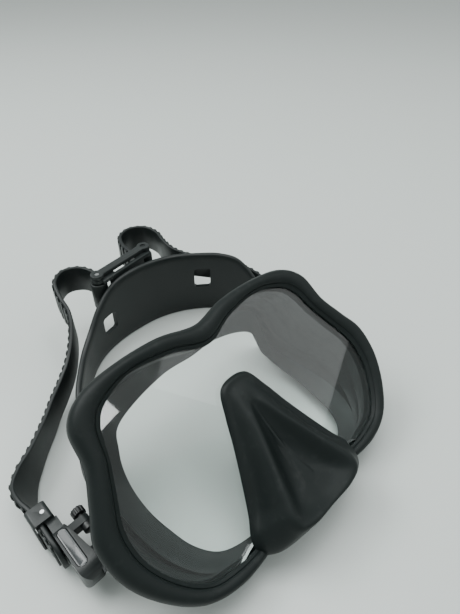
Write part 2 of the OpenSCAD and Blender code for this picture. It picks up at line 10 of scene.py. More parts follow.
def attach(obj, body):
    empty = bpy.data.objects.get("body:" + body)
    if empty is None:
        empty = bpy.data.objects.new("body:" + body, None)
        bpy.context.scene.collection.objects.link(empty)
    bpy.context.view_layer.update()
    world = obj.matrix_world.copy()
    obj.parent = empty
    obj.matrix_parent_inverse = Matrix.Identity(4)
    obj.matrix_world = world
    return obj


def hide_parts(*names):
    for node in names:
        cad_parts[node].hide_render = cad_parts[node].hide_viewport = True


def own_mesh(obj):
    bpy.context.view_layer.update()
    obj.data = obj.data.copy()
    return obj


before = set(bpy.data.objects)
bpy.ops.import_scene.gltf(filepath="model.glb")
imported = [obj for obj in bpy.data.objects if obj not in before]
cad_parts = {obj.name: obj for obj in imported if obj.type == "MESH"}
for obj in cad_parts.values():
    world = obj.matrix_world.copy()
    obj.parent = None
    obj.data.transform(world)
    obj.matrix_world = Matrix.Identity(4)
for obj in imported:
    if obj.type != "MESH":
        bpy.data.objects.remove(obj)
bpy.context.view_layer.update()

bl_info = {
    "name": "Diving Mask Looks",
    "version": (1, 0, 0),
    "blender": (4, 5, 0),
    "location": "View3D > Sidebar > Diving Mask",
    "description": "Builds the finished surfaces of a diving mask round its packed frame",
    "category": "Object",
}

# ---------------------------------------------------------------- places
TILT = math.radians(38)
NOTCH_Z = 72.0
CENTRE = (1.903, 24.603)
SWING_Z = 14.75
LENS_THICKNESS = 4.0
BEZEL_PROUD = 4.2
GROOVE_FRONT = 0.7
GROOVE_BACK = GROOVE_FRONT - LENS_THICKNESS - 0.2

RIM = [(0, 0), (20, 4), (42, 4.2), (60, 1), (70.5, -8), (73, -24), (79, -37.5),
       (84.5, -50), (83, -66), (75, -81), (63, -93), (48, -98), (30, -98), (12, -97),
       (0, -96.6)]
# Third value: 1 where the bezel stands in front of the glass, 0 under the nose
WINDOW = [(0, -11, 1), (18, -5.2, 1), (38, -2.6, 1), (53, -7, 1), (60, -14, 1),
          (63.5, -26, 1), (68, -37.5, 1), (73, -51, 1), (72.5, -65, 1), (66, -79, 1),
          (57, -88.2, 1), (46, -91.3, 1), (32, -92.6, 0.75), (12, -91, 0.1), (0, -90.6, 0)]
BROW_SEAL = [(0, -5, -30), (20, -2, -31), (42, -2, -36), (56, -8, -44), (62, -18, -54.7)]
CHEEK_SEAL = [(65.5, -31, 1.9), (67.5, -43, 0.55), (68.5, -55, 1.2), (68, -67, 2),
              (64.5, -79, 1.5), (57, -89.5, 0.3), (44, -95.5, 0.7), (28, -97.5, 1),
              (12, -96.5, 1.6), (0, -96, 1.8)]
LIP = [(0, -11.5, -27), (16, -11, -29), (34, -14.5, -34), (46, -20, -40),
       (49.5, -29, -46), (52, -38, -49), (54, -49, -46), (54.5, -60, -39), (53, -70, -32),
       (50.5, -79, -25), (45, -86.5, -19.5), (37, -90, -16.5), (24, -91.5, -14.5),
       (10, -90.5, -13.8), (0, -90, -13.6)]
NOSE_FLANGE = [(0, -29, 0.75), (8.5, -31.5, 0.75), (13.5, -42, 0.75), (18, -54, 0.75),
               (23.5, -67, 0.75), (29.5, -80, 0.75), (34.5, -89.5, 0.4), (32, -97.6, -1.2),
               (16, -98.6, -2.4), (0, -98.8, -2.6)]
NOSE_CREST = [(0, -30.3, 2.6), (7.5, -32.5, 2.6), (12.2, -42.5, 2.6), (16.5, -54.5, 2.6),
              (21.8, -67.5, 2.6), (27.8, -80.3, 2.6), (32.8, -89, 3), (31, -98, 2.2),
              (16, -99.4, 2.4), (0, -99.8, 2.6)]
NOSE_FOOT = [(0, -33, 3), (6, -35, 3), (10.2, -43.5, 3), (14.2, -55, 3.2), (19, -67.7, 3.6),
             (25, -80, 4), (30.4, -88.6, 6), (28.8, -97.6, 7), (15.5, -99.6, 8), (0, -99.9, 8)]
NOSE_SHOULDER = [(0, -38, 4.6), (4, -39.5, 4.8), (7.2, -46, 6), (11, -57, 7.5),
                 (15.5, -69, 9.5), (20.8, -80.5, 11.5), (24.5, -88, 12.5), (23, -95.3, 13.5),
                 (13.5, -97.5, 14.5), (0, -97.8, 14)]
NOSE_RIDGE = [(0, -42, 5), (2, -43, 5.4), (4.5, -48, 7), (8, -58, 9.5), (12.5, -70, 12.5),
              (17, -82, 15.5), (19.3, -88.5, 17), (18, -93.3, 17.3), (11, -95.8, 17),
              (0, -96.4, 16)]
NOSE_SLOPE = [(0, -45, 4.8), (1, -46, 5), (2.2, -50, 5.6), (4, -59, 6.5), (6.5, -70, 7.8),
              (9.5, -81, 10), (11, -86, 11.5), (10, -89, 12.5), (6, -91, 13), (0, -92, 13)]
NOSE_MIDDLE = [(0, -50, 4.6), (0.4, -52, 4.6), (0.8, -56, 4.8), (1.2, -62, 5), (2, -69, 5.6),
               (3, -78, 7.6), (3.5, -82, 9), (3, -84, 10), (2, -85, 10.3), (0, -86, 10.5)]
NOSE_PLUG = [(0, -32.8, 0.75), (5.8, -34.8, 0.75), (10.2, -43.6, 0.75), (14.4, -55, 0.75),
             (19.8, -68, 0.75), (25.6, -80.5, 0.75), (29, -86.5, 0.3), (25.5, -94.3, -3.2),
             (14, -96, -3.45), (0, -96.4, -3.45)]
STRAP_X = 93.2
# Middle line of each strap: x, y, height of the middle, outward lean in degrees
LEFT_ROUTE = [(-STRAP_X, -21.5, 12.1, 0), (-STRAP_X, -13, 12.1, 0), (-STRAP_X, -5, 12.1, 0),
              (-STRAP_X, 5, 12.1, 3), (-93, 13.5, 11.5, 14), (-91, 21.3, 10.6, 22),
              (-86, 28.2, 10, 15), (-79.5, 33.9, 9.8, 6), (-72.3, 40.4, 9.8, 1),
              (-64, 47.8, 9.9, 0), (-56, 55.3, 10.6, 0), (-46.5, 63, 12, 0),
              (-37, 70.5, 15.5, 0), (-28, 79.5, 22, 0), (-21.5, 90, 29, 0),
              (-20, 101.5, 34, 0), (-16.5, 112.5, 37, 0), (-7.5, 119, 37.5, 0),
              (2, 115, 37.5, 0), (6, 104, 37.5, 0)]
RIGHT_ROUTE = [(STRAP_X, -21.5, 12.1, 0), (STRAP_X, -13, 12.1, 0), (STRAP_X, -5, 12.1, 0),
               (STRAP_X, 5, 12.1, 2), (95.3, 16, 12.5, 5), (98, 27, 14, 4), (98.6, 38.5, 17, 0),
               (96, 50, 21, 0), (90.5, 60.5, 25, 0), (82.5, 69.5, 28.5, 0), (73, 77, 31.5, 0),
               (64.5, 84.5, 34, 0), (60.5, 94, 36, 0), (61.5, 105, 37, 0), (64.3, 116, 37.5, 0),
               (62.5, 127, 37.5, 0), (53.5, 133, 37.5, 0), (43.5, 129.5, 37.5, 0),
               (38, 120, 37.5, 0), (36.5, 109, 37.5, 0)]
# Middle line of the rear pad: x, y and the height of its top edge
PAD_ROUTE = [(-49, 40, 19), (-42.5, 50.5, 21), (-35, 60, 22.5), (-27, 69, 24), (-17, 77, 28),
             (-6, 82.5, 37), (7, 85.8, 45.5), (22, 87, 48), (38, 86, 48), (53, 81.3, 47.5),
             (66, 73.5, 46.5), (76.5, 64, 46), (84, 54, 43), (88, 45, 34), (89.5, 37, 24)]
# Slots through the pad: x, y, lowest z, turn in degrees, height
PAD_SLOTS = [(68, 72, 20, -40, 15), (-1, 83.8, 14, 22, 13)]
CLIP_PLACE = (21.5, 95.8)
CLIP_TURN = math.radians(9.5)
CLIP_SPAN = 39.5
CLIP_HEIGHT = 37.5
LOOP_ROLLER_R = 2.6
STRAP_HALF_WIDTH = 9.0
STRAP_HALF_THICKNESS = 1.1
# Share of a strap's line that carries ribs; the rest is the turn inside the clip
RIBBED_SHARE = 148 / 233
BUTTON = (88.5, -21.5)
PRESS = 1.5
WEB = 5.0


def catmull(a, b, c, d, t):
    return 0.5 * (2 * b + (c - a) * t + (2 * a - 5 * b + 4 * c - d) * t * t
                  + (3 * b - a - 3 * c + d) * t ** 3)


def loop_spline(points, steps):
    """A closed smooth loop through the points, steps to each span."""
    p = np.array(points, float)
    n = len(p)
    return np.array([catmull(p[i - 1], p[i], p[(i + 1) % n], p[(i + 2) % n], j / steps)
                     for i in range(n) for j in range(steps)])


def path_spline(points, steps):
    """An open smooth line through the points, steps to each span."""
    p = np.array(points, float)
    n = len(p)
    out = [catmull(p[max(i - 1, 0)], p[i], p[i + 1], p[min(i + 2, n - 1)], j / steps)
           for i in range(n - 1) for j in range(steps)]
    return np.array(out + [p[-1]])


def whole(half):
    """A right half outline completed with its mirror image."""
    return list(half) + [(-p[0],) + tuple(p[1:]) for p in half[-2:0:-1]]


def grown(loop, d):
    """A flat loop moved outwards by d."""
    t = np.roll(loop, -1, 0)[:, :2] - np.roll(loop, 1, 0)[:, :2]
    t /= np.linalg.norm(t, axis=1)[:, None]
    out = np.array(loop, float)
    out[:, 0] -= d * t[:, 1]
    out[:, 1] += d * t[:, 0]
    return out


def rest_w(v, rise):
    return (rise - NOTCH_Z - math.sin(TILT) * v) / math.cos(TILT)


def on_lens(points):
    """Mask coordinates (across, up the lens, out of the lens) in mm to the frame in metres."""
    p = np.array(points, float)
    y = math.cos(TILT) * p[:, 1] - math.sin(TILT) * p[:, 2]
    z = math.sin(TILT) * p[:, 1] + math.cos(TILT) * p[:, 2] + NOTCH_Z
    return np.stack([p[:, 0] - CENTRE[0], y - CENTRE[1], z], 1) / 1000


def on_table(points):
    """Table coordinates in mm, before the origin was centred, to the frame in metres."""
    p = np.array(points, float)
    return np.stack([p[:, 0] - CENTRE[0], p[:, 1] - CENTRE[1], p[:, 2]], 1) / 1000


# ---------------------------------------------------------------- meshes
def add_object(name, mesh):
    old = bpy.data.objects.get(name)
    if old:
        bpy.data.objects.remove(old)
    obj = bpy.data.objects.new(name, mesh)
    bpy.context.scene.collection.objects.link(obj)
    return obj


def outward(bm):
    """Turn a closed shell so that it encloses a positive volume."""
    if bm.calc_volume(signed=True) < 0:
        bmesh.ops.reverse_faces(bm, faces=bm.faces)


def shade(mesh, angle=40):
    for poly in mesh.polygons:
        poly.use_smooth = True
    mesh.set_sharp_from_angle(angle=math.radians(angle))


def skin_rings(name, rings, round_trip, angle=40):
    """A mesh skinned over rings of equal length; an open one gets end caps."""
    n, m = len(rings[0]), len(rings)
    verts = np.concatenate(rings)
    faces = []
    for i in range(m if round_trip else m - 1):
        k = (i + 1) % m
        for j in range(n):
            h = (j + 1) % n
            faces.append((i * n + j, i * n + h, k * n + h, k * n + j))
    mesh = bpy.data.meshes.new(name)
    mesh.from_pydata([tuple(v) for v in verts], [], faces)
    bm = bmesh.new()
    bm.from_mesh(mesh)
    if not round_trip:
        for first in (0, (m - 1) * n):
            bm.verts.ensure_lookup_table()
            ring = [bm.verts[first + j] for j in range(n)]
            mid = bm.verts.new(sum((v.co for v in ring), Vector()) / n)
            for j in range(n):
                a, b = ring[j], ring[(j + 1) % n]
                bm.faces.new((b, a, mid) if first == 0 else (a, b, mid))
    bmesh.ops.remove_doubles(bm, verts=bm.verts, dist=2e-6)
    bmesh.ops.recalc_face_normals(bm, faces=bm.faces)
    outward(bm)
    bm.to_mesh(mesh)
    bm.free()
    shade(mesh, angle)
    return mesh


def softened(node, name, width, segments=2, angle=32):
    """A copy of a hard CAD node with its sharp edges eased.

    Short edges beside a hard edge limit the easing, so it comes out narrower than width.
    """
    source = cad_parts[node].data
    mesh = source.copy()
    mesh.name = name
    mesh.materials.clear()
    bm = bmesh.new()
    bm.from_mesh(mesh)
    bmesh.ops.remove_doubles(bm, verts=bm.verts, dist=1e-6)
    before = bm.calc_volume(signed=True)
    bmesh.ops.dissolve_limit(bm, angle_limit=math.radians(0.6), verts=bm.verts,
                             edges=bm.edges)
    hard = [e for e in bm.edges if len(e.link_faces) == 2
            and e.calc_face_angle(0) > math.radians(angle)]
    bmesh.ops.bevel(bm, geom=hard, offset=width / 1000, offset_type="OFFSET",
                    segments=segments, profile=0.6, affect="EDGES", clamp_overlap=True)
    bmesh.ops.triangulate(bm, faces=[f for f in bm.faces if len(f.verts) > 4])
    bmesh.ops.dissolve_degenerate(bm, dist=1e-7, edges=bm.edges)
    open_edges = [e for e in bm.edges if len(e.link_faces) != 2]
    after = bm.calc_volume(signed=True)
    if open_edges or abs(after - before) > 0.12 * abs(before):
        bm.free()
        bm = bmesh.new()
        bm.from_mesh(source)
        bmesh.ops.remove_doubles(bm, verts=bm.verts, dist=1e-6)
    bm.to_mesh(mesh)
    bm.free()
    shade(mesh, 35)
    return add_object(name, mesh)


def place(obj, body, nodes, material):
    """Give a finished piece its material and body, and hide the CAD nodes it replaces."""
    obj.data.materials.clear()
    obj.data.materials.append(material)
    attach(obj, body)
    if nodes:
        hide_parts(*nodes)


# ---------------------------------------------------------------- shader groups
def new_group(name, inputs, outputs):
    old = bpy.data.node_groups.get(name)
    if old:
        return old, None, None
    group = bpy.data.node_groups.new(name, "ShaderNodeTree")
    for label, kind, value in inputs:
        socket = group.interface.new_socket(name=label, in_out="INPUT", socket_type=kind)
        socket.default_value = value
    for label, kind in outputs:
        group.interface.new_socket(name=label, in_out="OUTPUT", socket_type=kind)
    start = group.nodes.new("NodeGroupInput")
    end = group.nodes.new("NodeGroupOutput")
    return group, start, end


def moulded_grain():
    """Fine moulded texture: a tone mask and a height for bump."""
    group, start, end = new_group(
        "Moulded grain",
        [("Vector", "NodeSocketVector", (0, 0, 0)), ("Grain Scale", "NodeSocketFloat", 900.0),
         ("Blotch Scale", "NodeSocketFloat", 40.0), ("Blotch", "NodeSocketFloat", 0.85)],
        [("Tone", "NodeSocketFloat"), ("Height", "NodeSocketFloat")])
    if start is None:
        return group
    n, l = group.nodes, group.links
    fine = n.new("ShaderNodeTexNoise")
    fine.inputs["Detail"].default_value = 3
    broad = n.new("ShaderNodeTexNoise")
    broad.inputs["Detail"].default_value = 4
    broad.inputs["Roughness"].default_value = 0.6
    mix = n.new("ShaderNodeMix")
    l.new(start.outputs["Vector"], fine.inputs["Vector"])
    l.new(start.outputs["Vector"], broad.inputs["Vector"])
    l.new(start.outputs["Grain Scale"], fine.inputs["Scale"])
    l.new(start.outputs["Blotch Scale"], broad.inputs["Scale"])
    l.new(start.outputs["Blotch"], mix.inputs["Factor"])
    l.new(fine.outputs["Fac"], mix.inputs["A"])
    l.new(broad.outputs["Fac"], mix.inputs["B"])
    l.new(mix.outputs["Result"], end.inputs["Tone"])
    l.new(fine.outputs["Fac"], end.inputs["Height"])
    return group


def worn_edges():
    """A mask that is high on sharp outer edges, broken up by noise."""
    group, start, end = new_group(
        "Worn edges",
        [("Vector", "NodeSocketVector", (0, 0, 0)), ("Low", "NodeSocketFloat", 0.53),
         ("High", "NodeSocketFloat", 0.62), ("Break Up", "NodeSocketFloat", 300.0)],
        [("Mask", "NodeSocketFloat")])
    if start is None:
        return group
    n, l = group.nodes, group.links
    geo = n.new("ShaderNodeNewGeometry")
    ramp = n.new("ShaderNodeMapRange")
    noise = n.new("ShaderNodeTexNoise")
    times = n.new("ShaderNodeMath")
    times.operation = "MULTIPLY"
    l.new(geo.outputs["Pointiness"], ramp.inputs["Value"])
    l.new(start.outputs["Low"], ramp.inputs["From Min"])
    l.new(start.outputs["High"], ramp.inputs["From Max"])
    l.new(start.outputs["Vector"], noise.inputs["Vector"])
    l.new(start.outputs["Break Up"], noise.inputs["Scale"])
    l.new(ramp.outputs["Result"], times.inputs[0])
    l.new(noise.outputs["Fac"], times.inputs[1])
    l.new(times.outputs["Value"], end.inputs["Mask"])
    return group


def settled_dust():
    """A mask of fine dust that lies on faces turned upwards."""
    group, start, end = new_group(
        "Settled dust",
        [("Vector", "NodeSocketVector", (0, 0, 0)), ("Speck Scale", "NodeSocketFloat", 260.0),
         ("Amount", "NodeSocketFloat", 0.4)],
        [("Mask", "NodeSocketFloat")])
    if start is None:
        return group
    n, l = group.nodes, group.links
    geo = n.new("ShaderNodeNewGeometry")
    split = n.new("ShaderNodeSeparateXYZ")
    up = n.new("ShaderNodeMapRange")
    up.inputs["From Min"].default_value = 0.2
    noise = n.new("ShaderNodeTexNoise")
    noise.inputs["Detail"].default_value = 6
    specks = n.new("ShaderNodeMapRange")
    specks.inputs["From Min"].default_value = 0.56
    specks.inputs["From Max"].default_value = 0.75
    one = n.new("ShaderNodeMath")
    one.operation = "MULTIPLY"
    two = n.new("ShaderNodeMath")
    two.operation = "MULTIPLY"
    l.new(geo.outputs["Normal"], split.inputs["Vector"])
    l.new(split.outputs["Z"], up.inputs["Value"])
    l.new(start.outputs["Vector"], noise.inputs["Vector"])
    l.new(start.outputs["Speck Scale"], noise.inputs["Scale"])
    l.new(noise.outputs["Fac"], specks.inputs["Value"])
    l.new(up.outputs["Result"], one.inputs[0])
    l.new(specks.outputs["Result"], one.inputs[1])
    l.new(one.outputs["Value"], two.inputs[0])
    l.new(start.outputs["Amount"], two.inputs[1])
    l.new(two.outputs["Value"], end.inputs["Mask"])
    return group


def finish_of(name, base, second, rough, metallic=0.0, grain=900.0, blotch=40.0, bump=0.08,
              dust=0.35, worn=0.5, coat=0.0, sheen=0.0, specular=0.5):
    """A moulded or metal finish made of the shared groups."""
    old = bpy.data.materials.get(name)
    if old:
        return old
    mat = bpy.data.materials.new(name)
    mat.use_nodes = True
    n, l = mat.node_tree.nodes, mat.node_tree.links
    bsdf = n["Principled BSDF"]
    bsdf.inputs["Metallic"].default_value = metallic
    bsdf.inputs["Coat Weight"].default_value = coat
    bsdf.inputs["Coat Roughness"].default_value = 0.12
    bsdf.inputs["Sheen Weight"].default_value = sheen
    bsdf.inputs["Specular IOR Level"].default_value = specular
    place_of = n.new("ShaderNodeTexCoord")
    texture = n.new("ShaderNodeGroup")
    texture.node_tree = moulded_grain()
    texture.inputs["Grain Scale"].default_value = grain
    texture.inputs["Blotch Scale"].default_value = blotch
    l.new(place_of.outputs["Object"], texture.inputs["Vector"])
    tone = n.new("ShaderNodeMix")
    tone.data_type = "RGBA"
    tone.inputs["A"].default_value = (*base, 1)
    tone.inputs["B"].default_value = (*second, 1)
    l.new(texture.outputs["Tone"], tone.inputs["Factor"])
    edges = n.new("ShaderNodeGroup")
    edges.node_tree = worn_edges()
    l.new(place_of.outputs["Object"], edges.inputs["Vector"])
    wear = n.new("ShaderNodeMix")
    wear.data_type = "RGBA"
    wear.inputs["B"].default_value = (*[min(1, 0.02 + c * 2.2) for c in second], 1)
    strength = n.new("ShaderNodeMath")
    strength.operation = "MULTIPLY"
    strength.inputs[1].default_value = worn
    l.new(edges.outputs["Mask"], strength.inputs[0])
    l.new(strength.outputs["Value"], wear.inputs["Factor"])
    l.new(tone.outputs["Result"], wear.inputs["A"])
    specks = n.new("ShaderNodeGroup")
    specks.node_tree = settled_dust()
    specks.inputs["Amount"].default_value = dust
    l.new(place_of.outputs["Object"], specks.inputs["Vector"])
    dusty = n.new("ShaderNodeMix")
    dusty.data_type = "RGBA"
    dusty.inputs["B"].default_value = (0.16, 0.17, 0.165, 1)
    l.new(specks.outputs["Mask"], dusty.inputs["Factor"])
    l.new(wear.outputs["Result"], dusty.inputs["A"])
    l.new(dusty.outputs["Result"], bsdf.inputs["Base Color"])
    rub = n.new("ShaderNodeMapRange")
    rub.inputs["From Min"].default_value = 0.3
    rub.inputs["From Max"].default_value = 0.7
    rub.inputs["To Min"].default_value = rough[0]
    rub.inputs["To Max"].default_value = rough[1]
    l.new(texture.outputs["Tone"], rub.inputs["Value"])
    l.new(rub.outputs["Result"], bsdf.inputs["Roughness"])
    relief = n.new("ShaderNodeBump")
    relief.inputs["Strength"].default_value = bump
    relief.inputs["Distance"].default_value = 0.0003
    l.new(texture.outputs["Height"], relief.inputs["Height"])
    l.new(relief.outputs["Normal"], bsdf.inputs["Normal"])
    return mat


def glass_finish():
    """Clear toughened glass with faint smears in its gloss; shadows pass through it."""
    old = bpy.data.materials.get("lens_glass")
    if old:
        return old
    mat = bpy.data.materials.new("lens_glass")
    mat.use_nodes = True
    n, l = mat.node_tree.nodes, mat.node_tree.links
    bsdf = n["Principled BSDF"]
    bsdf.inputs["Base Color"].default_value = (0.93, 0.97, 0.96, 1)
    bsdf.inputs["Transmission Weight"].default_value = 1.0
    bsdf.inputs["IOR"].default_value = 1.5
    spot = n.new("ShaderNodeTexCoord")
    smear = n.new("ShaderNodeTexNoise")
    smear.inputs["Scale"].default_value = 28
    smear.inputs["Detail"].default_value = 5
    rub = n.new("ShaderNodeMapRange")
    rub.inputs["From Min"].default_value = 0.4
    rub.inputs["From Max"].default_value = 0.8
    rub.inputs["To Min"].default_value = 0.0
    rub.inputs["To Max"].default_value = 0.06
    l.new(spot.outputs["Object"], smear.inputs["Vector"])
    l.new(smear.outputs["Fac"], rub.inputs["Value"])
    l.new(rub.outputs["Result"], bsdf.inputs["Roughness"])
    rays = n.new("ShaderNodeLightPath")
    clear = n.new("ShaderNodeBsdfTransparent")
    clear.inputs["Color"].default_value = (0.9, 0.94, 0.93, 1)
    both = n.new("ShaderNodeMixShader")
    l.new(rays.outputs["Is Shadow Ray"], both.inputs["Fac"])
    l.new(bsdf.outputs["BSDF"], both.inputs[1])
    l.new(clear.outputs["BSDF"], both.inputs[2])
    l.new(both.outputs["Shader"], n["Material Output"].inputs["Surface"])
    return mat


def silicone(look):
    c = Vector(look.silicone_colour)
    return finish_of("skirt_silicone", c * 0.85, c * 1.25, (0.42, 0.6), grain=1400, blotch=22,
                     bump=0.06, dust=0.05, worn=0.12, specular=0.26)


def strap_silicone(look):
    c = Vector(look.strap_colour)
    return finish_of("strap_silicone", c * 0.85, c * 1.25, (0.36, 0.52), grain=1600, blotch=30,
                     bump=0.1, dust=0.05, worn=0.25, specular=0.45)


def buckle_plastic(look):
    c = Vector(look.buckle_colour)
    return finish_of("buckle_plastic", c * 0.85, c * 1.3, (0.34, 0.5), grain=2600, blotch=60,
                     bump=0.14, dust=0.08, worn=0.4)


def button_plastic():
    return finish_of("button_plastic", (0.045, 0.052, 0.055), (0.065, 0.072, 0.075), (0.14, 0.24),
                     grain=3000, blotch=80, bump=0.04, dust=0.12, worn=0.4, coat=0.5)


def black_plastic():
    return finish_of("black_plastic", (0.008, 0.009, 0.009), (0.014, 0.015, 0.016), (0.3, 0.45),
                     grain=2400, blotch=50, bump=0.1, dust=0.05, worn=0.4)


def washer_nylon():
    return finish_of("washer_nylon", (0.09, 0.095, 0.1), (0.13, 0.135, 0.14), (0.4, 0.5),
                     grain=2400, blotch=50, bump=0.08, dust=0.1, worn=0.3)


def pin_steel():
    return finish_of("pin_steel", (0.5, 0.51, 0.52), (0.6, 0.61, 0.62), (0.22, 0.36),
                     metallic=1.0, grain=3500, blotch=90, bump=0.06, dust=0.05, worn=0.2)


# ---------------------------------------------------------------- mask body
def sunk(window, w):
    k = np.clip(window[:, 2], 0, 1)
    return w * (0.45 + 0.55 * k) - 5.5 * (1 - k)


def build_skirt(sizes, look):
    steps = sizes.outline_steps
    rim = loop_spline(whole(RIM), steps)
    window = loop_spline(whole(WINDOW), steps)
    seal = loop_spline(whole(BROW_SEAL + [(x, y, rest_w(y, r)) for x, y, r in CHEEK_SEAL]), steps)
    lip = loop_spline(whole(LIP), steps)
    flat = window[:, :2]
    rim_in, rim_back = grown(rim, -1), grown(rim, -3.6)
    grip_loop = grown(flat, 4.3)
    inner = grown(flat, 0.6)
    proud = BEZEL_PROUD

    def level(loop, w):
        return np.column_stack([loop[:, :2], sunk(window, w)])

    def mixed(a, b, f):
        return a * (1 - f) + b * f

    def wall(f):
        return mixed(level(rim_back, -8), seal, f)

    def raised(loop, dz):
        return loop + np.array([0, 0, dz])

    # Front roll: a narrow lip on the glass, a fine groove, then the round bezel.
    # Each row is how far it lies from the window to the rim, and its height.
    groove = sizes.groove_depth * 1000
    profile = [(0.0, GROOVE_FRONT), (0.0, GROOVE_FRONT + 0.8), (0.04, GROOVE_FRONT + 1.15),
               (0.10, proud * 0.50), (0.15, proud * 0.60), (0.18, proud * 0.64 - groove),
               (0.21, proud * 0.70), (0.30, proud * 0.85), (0.42, proud * 0.95),
               (0.55, proud), (0.68, proud * 0.98), (0.79, proud * 0.88),
               (0.88, proud * 0.68), (0.95, proud * 0.4)]
    rings = [level(mixed(flat, rim[:, :2], f), w) for f, w in profile]
    rings += [level(rim, 0.5), level(rim, -0.6), level(rim, -1.6)]
    rings += [level(grown(rim, -groove), -1.9), level(rim, -2.2), level(rim, -3.0)]
    rings += [level(grown(rim, -0.35), -4.2), level(rim_in, -5.2), level(grown(rim, -2.2), -6.6),
              level(rim_back, -8)]
    folds = sizes.fold_depth * 1000
    around = np.linspace(0, 2 * math.pi, len(rim), endpoint=False)
    for i, f in enumerate(np.linspace(0.08, 0.92, 12)):
        ring = wall(f)
        swell = folds * (math.sin(math.pi * f) * 0.6
                         + 0.4 * math.sin(math.pi * f) * np.sin(around * 9 + 6 * f))
        ring = ring + np.column_stack([(grown(ring, 1)[:, :2] - ring[:, :2]) * swell[:, None],
                                       np.zeros(len(ring))])
        rings.append(ring)
    rings += [mixed(wall(0.92), seal, 0.7), seal]
    rings += [mixed(seal, lip, f) for f in (0.12, 0.3, 0.46, 0.58, 0.62)]
    rings += [raised(mixed(seal, lip, 0.635), 0.5)]
    rings += [raised(mixed(seal, lip, f), 1.0 + (0.64 - f) * 2.1) for f in (0.62, 0.5, 0.38, 0.3)]
    seal_in = raised(grown(seal, -2), 2.6)
    rings += [seal_in]
    for f, swell in ((0.1, 0), (0.18, 0.5), (0.26, 0.75), (0.34, 0.3), (0.4, -0.5), (0.46, 0),
                     (0.54, 0.6), (0.62, 0.7), (0.7, 0.1), (0.76, -0.5), (0.82, 0), (0.93, 0.1)):
        ring = mixed(seal_in, level(inner, -7), f)
        rings.append(grown(ring, swell * folds / 0.5))
    rings += [level(inner, -7.5), level(inner, -6.2), level(flat, GROOVE_BACK - 0.6),
              level(flat, GROOVE_BACK), level(grip_loop, GROOVE_BACK),
              level(grip_loop, GROOVE_FRONT)]
    mesh = skin_rings("skirt_shell", [on_lens(r) for r in rings], True, 50)
    place(add_object("skirt_shell", mesh), "mask", ["skirt"], silicone(look))


def build_inner_lip(sizes, look):
    steps = sizes.outline_steps
    seal = loop_spline(whole(BROW_SEAL + [(x, y, rest_w(y, r)) for x, y, r in CHEEK_SEAL]), steps)
    lip = loop_spline(whole(LIP), steps)

    def between(f, dz):
        return seal * (1 - f) + lip * f + np.array([0, 0, dz])

    under = [(0.25, 6.6), (0.30, 6.0), (0.36, 5.4), (0.45, 5.0), (0.58, 4.6), (0.7, 4.2),
             (0.8, 3.95), (0.9, 3.65), (0.97, 3.5)]
    over = [(1.0, 3.75), (1.0, 4.1), (0.97, 4.45), (0.9, 4.75), (0.8, 5.3), (0.7, 5.9),
            (0.58, 6.8), (0.45, 7.9), (0.35, 8.9), (0.25, 9.5)]
    rings = [between(f, dz) for f, dz in under + over]
    mesh = skin_rings("inner_lip", [on_lens(r) for r in rings], True, 60)
    place(add_object("inner_lip", mesh), "mask", ["inner_seal"], silicone(look))


def build_nose_cover(sizes, look):
    steps = sizes.outline_steps

    def ring(half):
        return loop_spline(whole(half), steps)

    def inside(half, drop):
        r = ring(half)
        return np.column_stack([r[:, 0] * 0.87, -70 + (r[:, 1] + 70) * 0.925, r[:, 2] - drop])

    outer = [ring(h) for h in (NOSE_MIDDLE, NOSE_SLOPE, NOSE_RIDGE, NOSE_SHOULDER, NOSE_FOOT,
                               NOSE_CREST, NOSE_FLANGE)]
    smooth = []
    for i in range(len(outer) - 1):
        a, b = outer[max(i - 1, 0)], outer[i]
        c, d = outer[i + 1], outer[min(i + 2, len(outer) - 1)]
        for j in range(5):
            smooth.append(catmull(a, b, c, d, j / 5))
    smooth.append(outer[-1])
    plug = ring(NOSE_PLUG)
    low = plug[:, 1] < -87
    back = np.column_stack([plug[:, :2], np.where(low, plug[:, 2] - 0.1, -3.9)])
    back_in = np.column_stack([plug[:, 0] * 0.87, -70 + (plug[:, 1] + 70) * 0.94,
                               np.where(low, plug[:, 2], -3.9)])
    rings = smooth + [plug, back, back_in]
    rings += [inside(h, 2.2) for h in (NOSE_FOOT, NOSE_SHOULDER, NOSE_RIDGE, NOSE_SLOPE,
                                       NOSE_MIDDLE)]
    mesh = skin_rings("nose_cover", [on_lens(r) for r in rings], False, 60)
    place(add_object("nose_cover", mesh), "mask", ["nose_pocket"], silicone(look))


# ---------------------------------------------------------------- straps
def strap_line(route, side, steps):
    """Dense middle line of a strap, with the turn round its loop pin at the end."""
    pin = (CLIP_PLACE[0] + side * CLIP_SPAN / 2 * math.cos(CLIP_TURN),
           CLIP_PLACE[1] + side * CLIP_SPAN / 2 * math.sin(CLIP_TURN))
    r = LOOP_ROLLER_R + 0.35 + 1.1
    turn_from, turn_to = (5, -235) if side < 0 else (185, 425)
    angles = [math.radians(turn_from + (turn_to - turn_from) * i / 9) for i in range(10)]
    turn = [(pin[0] + r * math.cos(a), pin[1] + r * math.sin(a), CLIP_HEIGHT, 0) for a in angles]
    return path_spline(list(route) + turn, steps)


def strap_axes(line, out):
    """Along, upward and outward directions at each point of a strap's line."""
    t = np.gradient(line[:, :2], axis=0)
    t /= np.linalg.norm(t, axis=1)[:, None]
    n = out * np.column_stack([-t[:, 1], t[:, 0]])
    lean = np.radians(line[:, 3])
    up = np.column_stack([np.sin(lean) * n[:, 0], np.sin(lean) * n[:, 1], np.cos(lean)])
    face = np.column_stack([np.cos(lean) * n[:, 0], np.cos(lean) * n[:, 1], -np.sin(lean)])
    along = np.column_stack([t, np.zeros(len(t))])
    return along, up, face


